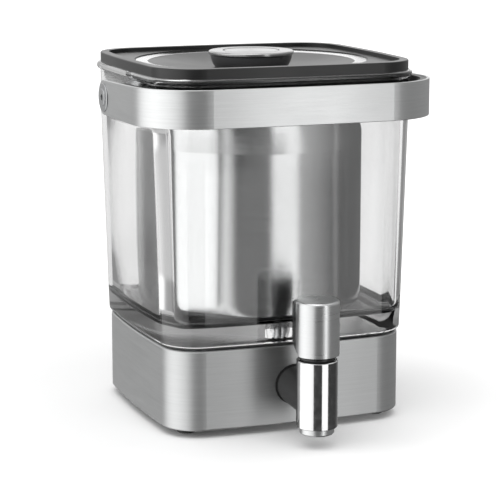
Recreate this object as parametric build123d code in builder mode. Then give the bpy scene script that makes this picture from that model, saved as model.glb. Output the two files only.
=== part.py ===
"""Cold brew coffee maker: a glass jar on a steel base with a tap, a steeper, a lid and a strap handle.

Millimetres.  +Z up, the tap points to -Y, +X is to the right of someone who faces the tap.  The pieces
are drawn about the middle of the base, on the surface that the feet stand on, and written about the
middle of the whole maker's box, on the same surface.
"""
import os

from build123d import *

os.makedirs("parts", exist_ok=True)

# ---------------------------------------------------------------- driving dimensions
# Footprint shared by base, jar and lid: a rectangle with bowed sides and round corners.
HALF_WIDTH = 85.0
HALF_DEPTH = 79.8
BOW = 4.2
CORNER = 24.8

# Heights of the stack
BASE_BOTTOM = 4.8
BASE_TOP = 57.9
JAR_BOTTOM = 58.5
JAR_FLOOR = 71.5
RIM_BOTTOM = 228.0
RIM_TOP = 232.7
LID_TOP = 239.3

# Base
SHEET = 1.2
BASE_EDGE = 1.4
FOOT_RADIUS = 6.8
FOOT_X = 67.0
FOOT_Y = 57.5
PLATE_THICK = 3.0
POST_X = 66.0
POST_Y = 44.0

# Jar: how far its outside stands beyond the base footprint, low and high, and its wall
JAR_GROW_LOW = 1.4
JAR_GROW_HIGH = 5.1
JAR_SHOULDER = 199.0
JAR_WALL_LOW = 5.0
JAR_WALL_HIGH = 4.6
RIM_GROW = 7.3
RIM_ROUND = 1.9

# Outlet from the jar floor
OUTLET_Y = -35.0
OUTLET_RADIUS = 9.0
OUTLET_FLANGE = 14.0
BARB_RADIUS = 6.7
FEED_BEND = 14.0
FEED_WALL = 2.4

# Tap
TAP_Y = -118.0
TAP_RADIUS = 13.2
SLEEVE_THICK = 1.0
SLEEVE_BOTTOM = 13.3
SLEEVE_TOP = 56.9
STEM_Z = 31.6
STEM_RADIUS = 12.7
SHANK_RADIUS = 8.0
CHANNEL = 4.8
CHAMBER = 9.2
SEAT_Z = 21.0
NOZZLE_RADIUS = 11.2
NOZZLE_BORE = 8.0
NOZZLE_BOTTOM = 8.8

# Lever
LEVER_RADIUS = 14.1
LEVER_BOTTOM = 60.3
LEVER_TOP = 96.4
LEVER_BACK = 5.0
CAP_WALL = 0.9
TOE_Y = TAP_Y - 11.0
PIN_Z = 66.0
PIN_RADIUS = 1.5

# Strap handle and its pivots
STRAP_Z = 215.4
STRAP_GROW = 18.3
STRAP_HEIGHT = 24.35
STRAP_THICK = 1.8
STRAP_EDGE = 0.4
TAPER_START = -60.0
LINER_THICK = 4.0
LINER_END = -32.0
PIVOT_Z = 214.8
END_RADIUS = 11.4
BUSH_RADIUS = 6.0
PIVOT_SHANK = 4.0

# Lid and knob
LID_GROW = 4.95
LID_RIM = 5.4
DECK_Z = 236.8
RECESS_RADIUS = 78.0
RING_RADIUS = 69.0
DISH_RADIUS = 24.2
DISH_Z = 231.2
LID_WALL = 2.4
SKIRT_BOTTOM = 221.0
KNOB_RADIUS = 28.6
KNOB_TOP = 242.5
KNOB_CAP = 2.9

# Steeper
STEEPER_RADIUS = 73.5
STEEPER_WALL = 0.9
STEEPER_BOTTOM = 75.0
STEEPER_TOP = 218.5
STEEPER_ROUND = 13.0
BEAD_Z = 182.0
FOOT_RING = 58.5
BAIL_Z = 211.0
BAIL_RADIUS = 69.4
BAIL_WIRE = 1.8
EYE_RADIUS = 3.6
RIVET_RADIUS = 2.0


# How far behind the middle of the whole box the middle of the base lies
BOX_SHIFT = -(HALF_DEPTH + RIM_GROW + TAP_Y - LEVER_RADIUS) / 2


def save(part, name):
    """Label a finished piece, move it to the written frame and write it as its own STEP file."""
    placed = part.moved(Location((0, BOX_SHIFT, 0)))
    placed.label = name
    export_step(placed, f"parts/{name}.step")


def footprint(grow):
    """The maker's plan outline, pushed outward all round by grow."""
    half_x, half_y = HALF_WIDTH + grow, HALF_DEPTH + grow
    x, y = half_x - BOW, half_y - BOW
    with BuildSketch() as plan:
        with BuildLine():
            ThreePointArc((-x, -y), (0, -half_y), (x, -y))
            ThreePointArc((x, -y), (half_x, 0), (x, y))
            ThreePointArc((x, y), (0, half_y), (-x, y))
            ThreePointArc((-x, y), (-half_x, 0), (-x, -y))
        make_face()
        fillet(plan.vertices(), CORNER + grow)
    return plan.sketch


# ---------------------------------------------------------------- base
# Drawn steel skirt: closed on top, open below, with a hole in front for the tap shank.
outer_plan = footprint(0)
inner_plan = footprint(-SHEET)

with BuildPart() as base_shell:
    with BuildSketch(Plane.XY.offset(BASE_BOTTOM)):
        add(outer_plan)
    extrude(amount=BASE_TOP - BASE_BOTTOM)
    fillet(base_shell.faces().sort_by(Axis.Z)[-1].edges(), BASE_EDGE)
    fillet(base_shell.faces().sort_by(Axis.Z)[0].edges(), BASE_EDGE)
    with BuildSketch(Plane.XY.offset(BASE_BOTTOM)):
        add(inner_plan)
    extrude(amount=BASE_TOP - BASE_BOTTOM - SHEET, mode=Mode.SUBTRACT)
    with BuildSketch(Plane.XY.offset(BASE_TOP)):
        with Locations((0, OUTLET_Y)):
            Circle(OUTLET_RADIUS + 0.2)
    extrude(amount=-2 * SHEET, mode=Mode.SUBTRACT)
    with BuildSketch(Plane.XZ.offset(HALF_DEPTH + 1)):
        with Locations((0, STEM_Z)):
            Circle(SHANK_RADIUS + 0.2)
    extrude(amount=-10, mode=Mode.SUBTRACT)
save(base_shell.part, "base_shell")

# Moulded chassis inside the skirt: a low wall, cross ribs and four posts for the plate's screws.
chassis_low = BASE_BOTTOM + PLATE_THICK + 0.4
chassis_high = BASE_TOP - SHEET
posts = [(sx * POST_X, sy * POST_Y) for sx in (-1, 1) for sy in (-1, 1)]

with BuildPart() as base_chassis:
    with BuildSketch(Plane.XY.offset(chassis_high)):
        add(footprint(-SHEET - 0.3))
        add(footprint(-SHEET - 2.7), mode=Mode.SUBTRACT)
    extrude(amount=-8)
    with BuildSketch(Plane.XY.offset(chassis_high)):
        for y in (-POST_Y, POST_Y):
            with Locations((0, y)):
                Rectangle(2 * (HALF_WIDTH - 6), 2.4)
        for x in (-POST_X, POST_X):
            with Locations((x, 0)):
                Rectangle(2.4, 2 * (HALF_DEPTH - 8))
        with Locations((0, OUTLET_Y)):
            Circle(24, mode=Mode.SUBTRACT)
    extrude(amount=-8)
    with BuildSketch(Plane.XY.offset(chassis_low)):
        with Locations(*posts):
            Circle(5)
    extrude(amount=chassis_high - chassis_low)
    with Locations(Plane.XY.offset(chassis_low)):
        with Locations(*posts):
            Hole(1.5, 24)
save(base_chassis.part, "base_chassis")

# Moulded bottom plate: countersunk for its screws, with a recess for each foot.
foot_spots = {
    "front_left": (-FOOT_X, -FOOT_Y),
    "front_right": (FOOT_X, -FOOT_Y),
    "rear_left": (-FOOT_X, FOOT_Y),
    "rear_right": (FOOT_X, FOOT_Y),
}
plate_low = BASE_BOTTOM + 0.3
plate_high = plate_low + PLATE_THICK

with BuildPart() as base_plate:
    with BuildSketch(Plane.XY.offset(plate_low)):
        add(footprint(-SHEET - 0.3))
    extrude(amount=PLATE_THICK)
    with BuildSketch(Plane.XY.offset(plate_high)):
        add(footprint(-SHEET - 1.5))
        add(footprint(-SHEET - 3.5), mode=Mode.SUBTRACT)
    extrude(amount=6)
    with BuildSketch(Plane.XY.offset(plate_low)):
        with Locations(*foot_spots.values()):
            Circle(FOOT_RADIUS - 1.2)
    extrude(amount=1.6, mode=Mode.SUBTRACT)
    with Locations(Plane.XY.offset(plate_low).rotated((180, 0, 0))):
        with Locations(*posts):
            CounterSinkHole(1.8, 3.4, PLATE_THICK)
save(base_plate.part, "base_plate")

# Countersunk screws up into the posts.
with BuildPart() as base_screws:
    with BuildSketch(Plane.XY.offset(plate_low + 0.2)):
        with Locations(*posts):
            Circle(3.0)
    extrude(amount=1.6, taper=45)
    with BuildSketch(Plane.XY.offset(plate_low + 1.0)):
        with Locations(*posts):
            Circle(1.45)
    extrude(amount=14)
    with BuildSketch(Plane.XY.offset(plate_low + 0.2)):
        with Locations(*posts):
            Rectangle(3.2, 0.7)
            Rectangle(0.7, 3.2)
    extrude(amount=0.9, mode=Mode.SUBTRACT)
save(base_screws.part, "base_screws")

# Rubber feet: a round pad with a rolled lower edge and a plug that fills the plate's recess.
for spot, (foot_x, foot_y) in foot_spots.items():
    with BuildPart() as foot:
        with BuildSketch(Plane.XZ):
            with BuildLine():
                Polyline((0, 0), (FOOT_RADIUS - 2.4, 0))
                ThreePointArc(
                    (FOOT_RADIUS - 2.4, 0), (FOOT_RADIUS - 0.7, 0.7), (FOOT_RADIUS, 2.4)
                )
                Polyline(
                    (FOOT_RADIUS, 2.4),
                    (FOOT_RADIUS, plate_low),
                    (FOOT_RADIUS - 1.3, plate_low),
                    (FOOT_RADIUS - 1.3, plate_low + 1.5),
                    (0, plate_low + 1.5),
                    (0, 0),
                )
            make_face()
        revolve(axis=Axis.Z)
    save(foot.part.moved(Location((foot_x, foot_y, 0))), f"foot_{spot}")

# ---------------------------------------------------------------- jar and its outlet
# Soft ring between the steel and the glass.
with BuildPart() as jar_gasket:
    with BuildSketch(Plane.XY.offset(BASE_TOP)):
        add(footprint(-6))
        add(footprint(-12), mode=Mode.SUBTRACT)
    extrude(amount=JAR_BOTTOM - BASE_TOP)
save(jar_gasket.part, "jar_gasket")

# Pressed glass jar: walls that flare upward, a thick floor with a hole, a beaded rim, and a hole in
# each side for the handle's pivot.
jar_round = 3.6
floor_round = 7.0
glass_side = HALF_WIDTH + JAR_GROW_HIGH

with BuildPart() as jar_cavity:
    with BuildSketch(Plane.XY.offset(JAR_FLOOR)):
        add(footprint(JAR_GROW_LOW - JAR_WALL_LOW))
    with BuildSketch(Plane.XY.offset(JAR_SHOULDER)):
        add(footprint(JAR_GROW_HIGH - JAR_WALL_HIGH))
    loft(ruled=True)
    fillet(jar_cavity.faces().sort_by(Axis.Z)[0].edges(), floor_round)
    with BuildSketch(Plane.XY.offset(JAR_SHOULDER)):
        add(footprint(JAR_GROW_HIGH - JAR_WALL_HIGH))
    extrude(amount=RIM_TOP - JAR_SHOULDER)

with BuildPart() as glass_jar:
    with BuildSketch(Plane.XY.offset(JAR_BOTTOM)):
        add(footprint(JAR_GROW_LOW))
    with BuildSketch(Plane.XY.offset(JAR_SHOULDER)):
        add(footprint(JAR_GROW_HIGH))
    loft(ruled=True)
    fillet(glass_jar.faces().sort_by(Axis.Z)[0].edges(), jar_round)
    with BuildSketch(Plane.XY.offset(JAR_SHOULDER)):
        add(footprint(JAR_GROW_HIGH))
    extrude(amount=RIM_TOP - JAR_SHOULDER)
    with BuildSketch(Plane.XY.offset(RIM_BOTTOM)):
        add(footprint(RIM_GROW))
    extrude(amount=RIM_TOP - RIM_BOTTOM)
    rim_side = glass_jar.faces().filter_by(
        lambda f: abs(f.center().Z - (RIM_BOTTOM + RIM_TOP) / 2) < 0.1
    )
    fillet(rim_side.edges().filter_by(lambda e: e.length > 15), RIM_ROUND)
    add(jar_cavity.part, mode=Mode.SUBTRACT)
    with BuildSketch(Plane.XY.offset(JAR_BOTTOM)):
        with Locations((0, OUTLET_Y)):
            Circle(OUTLET_RADIUS + 0.3)
    extrude(amount=JAR_FLOOR - JAR_BOTTOM, mode=Mode.SUBTRACT)
    with BuildSketch(Plane.YZ.offset(-glass_side - 1)):
        with Locations((0, PIVOT_Z)):
            Circle(PIVOT_SHANK + 0.3)
    extrude(amount=2 * glass_side + 2, mode=Mode.SUBTRACT)
save(glass_jar.part, "glass_jar")

# Outlet fitting: a flange on the jar floor, a threaded body through glass and steel, a hose barb.
floor_seal = 0.8
flange_low = JAR_FLOOR + floor_seal
nut_thick = 5.5
thread_end = BASE_TOP - SHEET - nut_thick - 0.8
barb_end = STEM_Z + FEED_BEND
outlet_axis = Axis((0, OUTLET_Y, 0), (0, 0, 1))

with BuildPart() as outlet_fitting:
    with BuildSketch(Plane.XZ.offset(-OUTLET_Y)):
        with BuildLine():
            Polyline(
                (CHANNEL, barb_end),
                (BARB_RADIUS - 0.6, barb_end),
                (BARB_RADIUS, barb_end + 1.5),
                (BARB_RADIUS, thread_end),
                (OUTLET_RADIUS, thread_end),
                (OUTLET_RADIUS, flange_low),
                (OUTLET_FLANGE, flange_low),
                (OUTLET_FLANGE, flange_low + 0.9),
                (OUTLET_FLANGE - 0.7, flange_low + 1.6),
                (CHANNEL + 1.2, flange_low + 1.6),
                (CHANNEL, flange_low + 0.4),
                close=True,
            )
        make_face()
    revolve(axis=outlet_axis)
save(outlet_fitting.part, "outlet_fitting")

with BuildPart() as outlet_seal:
    with BuildSketch(Plane.XY.offset(JAR_FLOOR)):
        with Locations((0, OUTLET_Y)):
            Circle(OUTLET_FLANGE)
            Circle(OUTLET_RADIUS, mode=Mode.SUBTRACT)
    extrude(amount=floor_seal)
save(outlet_seal.part, "outlet_seal")

with BuildPart() as outlet_nut:
    with BuildSketch(Plane.XY.offset(BASE_TOP - SHEET)):
        with Locations((0, OUTLET_Y)):
            RegularPolygon(OUTLET_RADIUS + 5.5, 6)
            Circle(OUTLET_RADIUS, mode=Mode.SUBTRACT)
    extrude(amount=-nut_thick)
save(outlet_nut.part, "outlet_nut")

# Soft elbow tube from the outlet down and forward to the tap shank.
feed_front = -(HALF_DEPTH - SHEET - nut_thick - 12.5)

with BuildPart() as feed_tube:
    with BuildLine(Plane.YZ) as feed_path:
        FilletPolyline(
            (OUTLET_Y, thread_end - 0.2),
            (OUTLET_Y, STEM_Z),
            (feed_front, STEM_Z),
            radius=FEED_BEND,
        )
    with BuildSketch(Plane.XY.offset(thread_end - 0.2)):
        with Locations((0, OUTLET_Y)):
            Circle(BARB_RADIUS + FEED_WALL)
            Circle(BARB_RADIUS, mode=Mode.SUBTRACT)
    sweep(path=feed_path.line)
save(feed_tube.part, "feed_tube")

# ---------------------------------------------------------------- tap
face_y = -HALF_DEPTH
washer_thick = 1.0
stem_start = face_y - washer_thick
shank_end = face_y + SHEET + nut_thick + 12.0
tap_axis = Axis((0, TAP_Y, 0), (0, 0, 1))
tap_profile = Plane.XZ.offset(-TAP_Y)
core_radius = TAP_RADIUS - SLEEVE_THICK

with BuildPart() as shank_washer:
    with BuildSketch(Plane.XZ.offset(-face_y)):
        with Locations((0, STEM_Z)):
            Circle(STEM_RADIUS + 0.7)
            Circle(SHANK_RADIUS + 0.1, mode=Mode.SUBTRACT)
    extrude(amount=washer_thick)
save(shank_washer.part, "shank_washer")

with BuildPart() as shank_nut:
    with BuildSketch(Plane.XZ.offset(-face_y - SHEET - 0.15)):
        with Locations((0, STEM_Z)):
            RegularPolygon(SHANK_RADIUS + 5, 6)
            Circle(SHANK_RADIUS, mode=Mode.SUBTRACT)
    extrude(amount=-nut_thick)
save(shank_nut.part, "shank_nut")

# Moulded tap body: shank, stem that deepens toward the tube, and the upright tube with its chamber.
tube_low = SLEEVE_BOTTOM + 0.4

with BuildPart() as tap_body:
    with BuildSketch(Plane.XY.offset(tube_low)):
        with Locations((0, TAP_Y)):
            Circle(TAP_RADIUS)
    extrude(amount=SLEEVE_TOP - tube_low)
    chamfer(tap_body.faces().sort_by(Axis.Z)[0].edges(), 1.2)
    with BuildSketch(Plane.XZ.offset(-stem_start)):
        with Locations((0, STEM_Z)):
            Circle(STEM_RADIUS)
    with BuildSketch(Plane.XZ.offset(-TAP_Y - 4)):
        with Locations((0, STEM_Z - 2.4)):
            Circle(STEM_RADIUS - 0.3)
    loft(ruled=True)
    stem_joint = tap_body.edges().filter_by(
        lambda e: e.center().Y > TAP_Y + 3 and e.center().Y < TAP_Y + TAP_RADIUS + 1
        and tube_low + 2 < e.center().Z < SLEEVE_TOP - 2
    )
    fillet(stem_joint, 3.0)
    with BuildSketch(Plane.XZ.offset(-stem_start)):
        with Locations((0, STEM_Z)):
            Circle(SHANK_RADIUS)
    extrude(amount=-(shank_end - 10 - stem_start))
    with BuildSketch(Plane.XZ.offset(-shank_end)):
        with Locations((0, STEM_Z)):
            Circle(BARB_RADIUS)
    extrude(amount=11)
    with BuildSketch(Plane.XY.offset(tube_low)):
        with Locations((0, TAP_Y)):
            Circle(TAP_RADIUS + 1)
            Circle(core_radius - 0.05, mode=Mode.SUBTRACT)
        with Locations((0, TAP_Y + TAP_RADIUS + 1.4)):
            Rectangle(40, 2 * TAP_RADIUS + 2, mode=Mode.SUBTRACT)
    extrude(amount=SLEEVE_TOP - tube_low, mode=Mode.SUBTRACT)
    with BuildSketch(tap_profile):
        with BuildLine():
            Polyline(
                (0, tube_low),
                (10.0, tube_low),
                (10.0, tube_low + 4),
                (6.5, tube_low + 4),
                (6.5, SEAT_Z),
                (CHAMBER, SEAT_Z),
                (CHAMBER, SLEEVE_TOP - 8),
                (9.9, SLEEVE_TOP - 8),
                (9.9, SLEEVE_TOP),
                (0, SLEEVE_TOP),
                close=True,
            )
        make_face()
    revolve(axis=tap_axis, mode=Mode.SUBTRACT)
    with BuildSketch(Plane.XZ.offset(-shank_end)):
        with Locations((0, STEM_Z)):
            Circle(CHANNEL)
    extrude(amount=shank_end - TAP_Y, mode=Mode.SUBTRACT)
save(tap_body.part, "tap_body")

# Polished half sleeve over the front of the tube.
with BuildPart() as tap_sleeve:
    with BuildSketch(Plane.XY.offset(SLEEVE_BOTTOM)):
        with Locations((0, TAP_Y)):
            Circle(TAP_RADIUS)
            Circle(core_radius, mode=Mode.SUBTRACT)
        with Locations((0, TAP_Y + TAP_RADIUS + 0.4)):
            Rectangle(40, 2 * TAP_RADIUS, mode=Mode.SUBTRACT)
    extrude(amount=SLEEVE_TOP - SLEEVE_BOTTOM)
    sleeve_rims = tap_sleeve.edges().filter_by(GeomType.CIRCLE).filter_by(
        lambda e: abs(e.radius - TAP_RADIUS) < 0.01
    )
    chamfer(sleeve_rims, 0.45)
save(tap_sleeve.part, "tap_sleeve")

# Brushed nozzle ring with a spigot up into the tube.
with BuildPart() as tap_nozzle:
    with BuildSketch(tap_profile):
        with BuildLine():
            Polyline(
                (NOZZLE_BORE, NOZZLE_BOTTOM),
                (NOZZLE_RADIUS - 1.0, NOZZLE_BOTTOM),
                (NOZZLE_RADIUS, NOZZLE_BOTTOM + 1.0),
                (NOZZLE_RADIUS, SLEEVE_BOTTOM),
                (9.9, SLEEVE_BOTTOM),
                (9.9, tube_low + 3.9),
                (NOZZLE_BORE, tube_low + 3.9),
                close=True,
            )
        make_face()
    revolve(axis=tap_axis)
save(tap_nozzle.part, "tap_nozzle")

# Bonnet that closes the chamber, on its black seal.
bonnet_low = SLEEVE_TOP - 7.6
bonnet_flange = 58.2
bonnet_top = 59.4
stem_rod = 2.2

with BuildPart() as bonnet_seal:
    with BuildSketch(Plane.XY.offset(SLEEVE_TOP)):
        with Locations((0, TAP_Y)):
            Circle(10.9)
            Circle(9.9, mode=Mode.SUBTRACT)
    extrude(amount=bonnet_flange - SLEEVE_TOP)
save(bonnet_seal.part, "bonnet_seal")

with BuildPart() as bonnet:
    with BuildSketch(tap_profile):
        with BuildLine():
            Polyline(
                (stem_rod + 0.05, bonnet_low),
                (9.85, bonnet_low),
                (9.85, bonnet_flange),
                (11.8, bonnet_flange),
                (11.8, bonnet_top - 0.3),
                (11.5, bonnet_top),
                (stem_rod + 0.05, bonnet_top),
                close=True,
            )
        make_face()
    revolve(axis=tap_axis)
save(bonnet.part, "bonnet")

# Valve stem: a rod with a spring collar and, on top, a flat head whose slot lets the pin move forward.
collar_low = 29.5
collar_high = 31.0
pin_travel = 5.6
slot_height = 4.2
head_height = 8.6
head_low = PIN_Z - head_height / 2

with BuildPart() as valve_stem:
    with BuildSketch(tap_profile):
        with BuildLine():
            Polyline(
                (0, 23.5),
                (stem_rod, 23.5),
                (stem_rod, collar_low),
                (6.5, collar_low),
                (6.5, collar_high),
                (stem_rod, collar_high),
                (stem_rod, head_low + 1),
                (0, head_low + 1),
                close=True,
            )
        make_face()
    revolve(axis=tap_axis)
    with BuildSketch(Plane.YZ.offset(-1.5)):
        with Locations((TAP_Y - pin_travel / 2 + 0.2, PIN_Z)):
            RectangleRounded(pin_travel + 7.0, head_height, 1.5)
            SlotCenterToCenter(pin_travel + 0.6, slot_height, mode=Mode.SUBTRACT)
    extrude(amount=3.0)
save(valve_stem.part, "valve_stem")

# Seal cup pushed on the foot of the stem; its tip closes the hole in the seat.
with BuildPart() as valve_seal:
    with BuildSketch(tap_profile):
        with BuildLine():
            Polyline(
                (0, SEAT_Z - 1.6),
                (4.2, SEAT_Z - 1.6),
                (6.0, SEAT_Z + 0.02),
                (8.4, SEAT_Z + 0.02),
                (8.4, SEAT_Z + 2.2),
                (4.6, SEAT_Z + 4.4),
                (4.6, collar_low),
                (stem_rod, collar_low),
                (stem_rod, 23.5),
                (0, 23.5),
                close=True,
            )
        make_face()
    revolve(axis=tap_axis)
save(valve_seal.part, "valve_seal")

# Return spring round the stem, between its collar and the bonnet.
spring_wire = 0.5
spring_radius = 4.6
spring_low = collar_high + spring_wire
spring_high = bonnet_low - spring_wire

with BuildPart() as valve_spring:
    with BuildLine(Plane.XY.offset(spring_low)) as coil:
        Helix(
            pitch=(spring_high - spring_low) / 5,
            height=spring_high - spring_low,
            radius=spring_radius,
            center=(0, TAP_Y, 0),
        )
    with BuildSketch(Plane(origin=coil.line @ 0, z_dir=coil.line % 0)):
        RegularPolygon(spring_wire, 8)
    sweep(path=coil.line, is_frenet=True)
save(valve_spring.part, "valve_spring")

# ---------------------------------------------------------------- lever
# Bevel under the back of the lever, rising away from the toe.
bevel_start = TAP_Y - 3.0
bevel_end = TAP_Y + 24.0
bevel_rise = 0.698 * (bevel_end - bevel_start)

with BuildPart() as bevel_cut:
    with BuildSketch(Plane.YZ.offset(-20)):
        with BuildLine():
            Polyline(
                (bevel_start, LEVER_BOTTOM),
                (bevel_end, LEVER_BOTTOM + bevel_rise),
                (bevel_end, LEVER_BOTTOM - 2),
                (bevel_start, LEVER_BOTTOM - 2),
                close=True,
            )
        make_face()
    extrude(amount=40)

dome_edge = LEVER_TOP - 0.8
core_back_top = LEVER_TOP - 3.0
cap_inner = LEVER_RADIUS - CAP_WALL
cap_back = 2.0
cavity_half = 2.8
cavity_top = 73.0

# Moulded core: round in front, bulged behind, with a slot below for the stem's head.
with BuildPart() as lever_core:
    with BuildSketch(Plane.XY.offset(LEVER_BOTTOM)):
        with Locations((0, TAP_Y)):
            Circle(LEVER_RADIUS - 0.1)
        with Locations((0, TAP_Y + LEVER_BACK)):
            Circle(LEVER_RADIUS - 0.1)
        with Locations((0, TAP_Y + LEVER_BACK / 2)):
            Rectangle(2 * LEVER_RADIUS - 0.2, LEVER_BACK)
        with Locations((0, TAP_Y + cap_back + 0.1 - 20)):
            Rectangle(40, 40, mode=Mode.SUBTRACT)
    extrude(amount=core_back_top - LEVER_BOTTOM)
    back_rim = lever_core.faces().sort_by(Axis.Z)[-1].edges().filter_by(
        lambda e: e.center().Y > TAP_Y + cap_back + 1
    )
    fillet(back_rim, 1.2)
    with BuildSketch(Plane.XY.offset(LEVER_BOTTOM)):
        with Locations((0, TAP_Y)):
            Circle(cap_inner - 0.05)
    extrude(amount=dome_edge - CAP_WALL - 0.2 - LEVER_BOTTOM)
    add(bevel_cut.part, mode=Mode.SUBTRACT)
    with BuildSketch(Plane.XY.offset(LEVER_BOTTOM)):
        with Locations((0, (TOE_Y + 0.8 + TAP_Y + 11.5) / 2)):
            Rectangle(2 * cavity_half, TAP_Y + 11.5 - TOE_Y - 0.8)
    extrude(amount=cavity_top - LEVER_BOTTOM, mode=Mode.SUBTRACT)
    with BuildSketch(Plane.YZ.offset(-LEVER_RADIUS - 1)):
        with Locations((TAP_Y, PIN_Z)):
            Circle(PIN_RADIUS)
    extrude(amount=2 * LEVER_RADIUS + 2, mode=Mode.SUBTRACT)
save(lever_core.part, "lever_core")

# Drawn steel cap: a domed top and a wall round the front.
with BuildPart() as lever_cap:
    with BuildSketch(tap_profile):
        with BuildLine():
            Line((0, LEVER_BOTTOM), (0, LEVER_TOP))
            ThreePointArc((0, LEVER_TOP), (6.4, LEVER_TOP - 0.22), (12.2, dome_edge))
            ThreePointArc(
                (12.2, dome_edge), (13.6, dome_edge - 0.7), (LEVER_RADIUS, dome_edge - 2.1)
            )
            Polyline(
                (LEVER_RADIUS, dome_edge - 2.1), (LEVER_RADIUS, LEVER_BOTTOM), (0, LEVER_BOTTOM)
            )
        make_face()
    revolve(axis=tap_axis)
    with BuildSketch(Plane.XY.offset(LEVER_BOTTOM)):
        with Locations((0, TAP_Y)):
            Circle(cap_inner)
    extrude(amount=dome_edge - CAP_WALL - LEVER_BOTTOM, mode=Mode.SUBTRACT)
    with BuildSketch(Plane.XY.offset(LEVER_BOTTOM)):
        with Locations((0, TAP_Y + cap_back + 20)):
            Rectangle(40, 40)
    extrude(amount=core_back_top + 0.1 - LEVER_BOTTOM, mode=Mode.SUBTRACT)
    add(bevel_cut.part, mode=Mode.SUBTRACT)
save(lever_cap.part, "lever_cap")

with BuildPart() as lever_pin:
    with BuildSketch(Plane.YZ.offset(-12)):
        with Locations((TAP_Y, PIN_Z)):
            Circle(PIN_RADIUS)
    extrude(amount=24)
save(lever_pin.part, "lever_pin")

# ---------------------------------------------------------------- pivots
# Turned parts of each pivot, as (radius, x) outlines about the pivot axis for the right side: a bush
# whose shank goes through the glass, a soft seal, a washer and a screw that keep the strap on.
strap_side = HALF_WIDTH + STRAP_GROW
strap_inside = strap_side - STRAP_THICK
pivot_slack = 0.08
boss_radius = 8.0
seal_out = glass_side + 0.6
shank_end_x = 80.6
thread = 2.8
washer_in = strap_side + pivot_slack
washer_out = washer_in + 0.6
head_out = washer_out + 0.6
pivot_profiles = {
    "pivot_bushes": [
        (thread, shank_end_x),
        (PIVOT_SHANK, shank_end_x),
        (PIVOT_SHANK, seal_out),
        (boss_radius, seal_out),
        (boss_radius, strap_inside - pivot_slack),
        (BUSH_RADIUS, strap_inside - pivot_slack),
        (BUSH_RADIUS, washer_in),
        (thread, washer_in),
    ],
    "pivot_seals": [
        (PIVOT_SHANK + 0.1, glass_side + 0.02),
        (boss_radius - 0.5, glass_side + 0.02),
        (boss_radius - 0.5, seal_out),
        (PIVOT_SHANK + 0.1, seal_out),
    ],
    "pivot_washers": [
        (thread + 0.2, washer_in),
        (9.4, washer_in),
        (9.4, washer_out - 0.3),
        (9.1, washer_out),
        (thread + 0.2, washer_out),
    ],
    "pivot_screws": [
        (0, 90.0),
        (thread, 90.0),
        (thread, washer_out),
        (5.6, washer_out),
        (5.6, head_out - 0.3),
        (5.3, head_out),
        (0, head_out),
    ],
}
pivot_axis = Axis((0, 0, PIVOT_Z), (1, 0, 0))

for name, profile in pivot_profiles.items():
    with BuildPart() as pivot_pair:
        with BuildSketch(Plane.XY.offset(PIVOT_Z)):
            with BuildLine():
                Polyline(*[(x, radius) for radius, x in profile], close=True)
            make_face()
        revolve(axis=pivot_axis)
        if name == "pivot_screws":
            with BuildSketch(Plane.YZ.offset(head_out)):
                with Locations((0, PIVOT_Z)):
                    RegularPolygon(2.3, 6)
            extrude(amount=-2.2, mode=Mode.SUBTRACT)
        mirror(about=Plane.YZ)
    save(pivot_pair.part, name)

# Thin hexagon nuts inside the jar.
nut_in = glass_side - JAR_WALL_HIGH - 0.1

with BuildPart() as pivot_nuts:
    with BuildSketch(Plane.YZ.offset(nut_in)):
        with Locations((0, PIVOT_Z)):
            RegularPolygon(6.6, 6)
            Circle(PIVOT_SHANK, mode=Mode.SUBTRACT)
    extrude(amount=-3.0)
    mirror(about=Plane.YZ)
save(pivot_nuts.part, "pivot_nuts")

# ---------------------------------------------------------------- handle
handle_back = END_RADIUS + 1


def strap_plan(inset):
    """The shared outline out to the strap, pulled inward by inset and cut off behind the pivots."""
    with BuildSketch() as plan:
        add(footprint(STRAP_GROW - inset))
        with Locations((0, handle_back + 100)):
            Rectangle(300, 200, mode=Mode.SUBTRACT)
    return plan.sketch


# Brushed strap: one U of flat steel whose arms taper to round ends that turn on the bushes.
strap_low = STRAP_Z - STRAP_HEIGHT / 2
strap_high = STRAP_Z + STRAP_HEIGHT / 2

with BuildPart() as handle_strap:
    with BuildSketch(Plane.XY.offset(strap_low)):
        add(strap_plan(0))
        add(strap_plan(STRAP_THICK), mode=Mode.SUBTRACT)
    extrude(amount=STRAP_HEIGHT)
    with BuildSketch(Plane.YZ.offset(-strap_side - 1)):
        with BuildLine():
            Polyline(
                (0, PIVOT_Z - END_RADIUS), (TAPER_START, strap_low), (-150, strap_low),
                (-150, strap_high), (TAPER_START, strap_high), (0, PIVOT_Z + END_RADIUS),
            )
            ThreePointArc(
                (0, PIVOT_Z + END_RADIUS), (END_RADIUS, PIVOT_Z), (0, PIVOT_Z - END_RADIUS)
            )
        make_face()
    extrude(amount=2 * strap_side + 2, mode=Mode.INTERSECT)
    fillet(handle_strap.edges().filter_by(lambda e: e.length > 2.5), STRAP_EDGE)
    with BuildSketch(Plane.YZ.offset(-strap_side - 1)):
        with Locations((0, PIVOT_Z)):
            Circle(BUSH_RADIUS + 0.05)
    extrude(amount=2 * strap_side + 2, mode=Mode.SUBTRACT)
save(handle_strap.part, "handle_strap")

# Moulded liner inside the strap's front and corners.
liner_drop = 0.7

with BuildPart() as handle_liner:
    with BuildSketch(Plane.XY.offset(strap_low + liner_drop)):
        add(strap_plan(STRAP_THICK))
        add(strap_plan(STRAP_THICK + LINER_THICK), mode=Mode.SUBTRACT)
        with Locations((0, LINER_END + 100)):
            Rectangle(240, 200, mode=Mode.SUBTRACT)
    extrude(amount=STRAP_HEIGHT - 2 * liner_drop)
save(handle_liner.part, "handle_liner")

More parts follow.
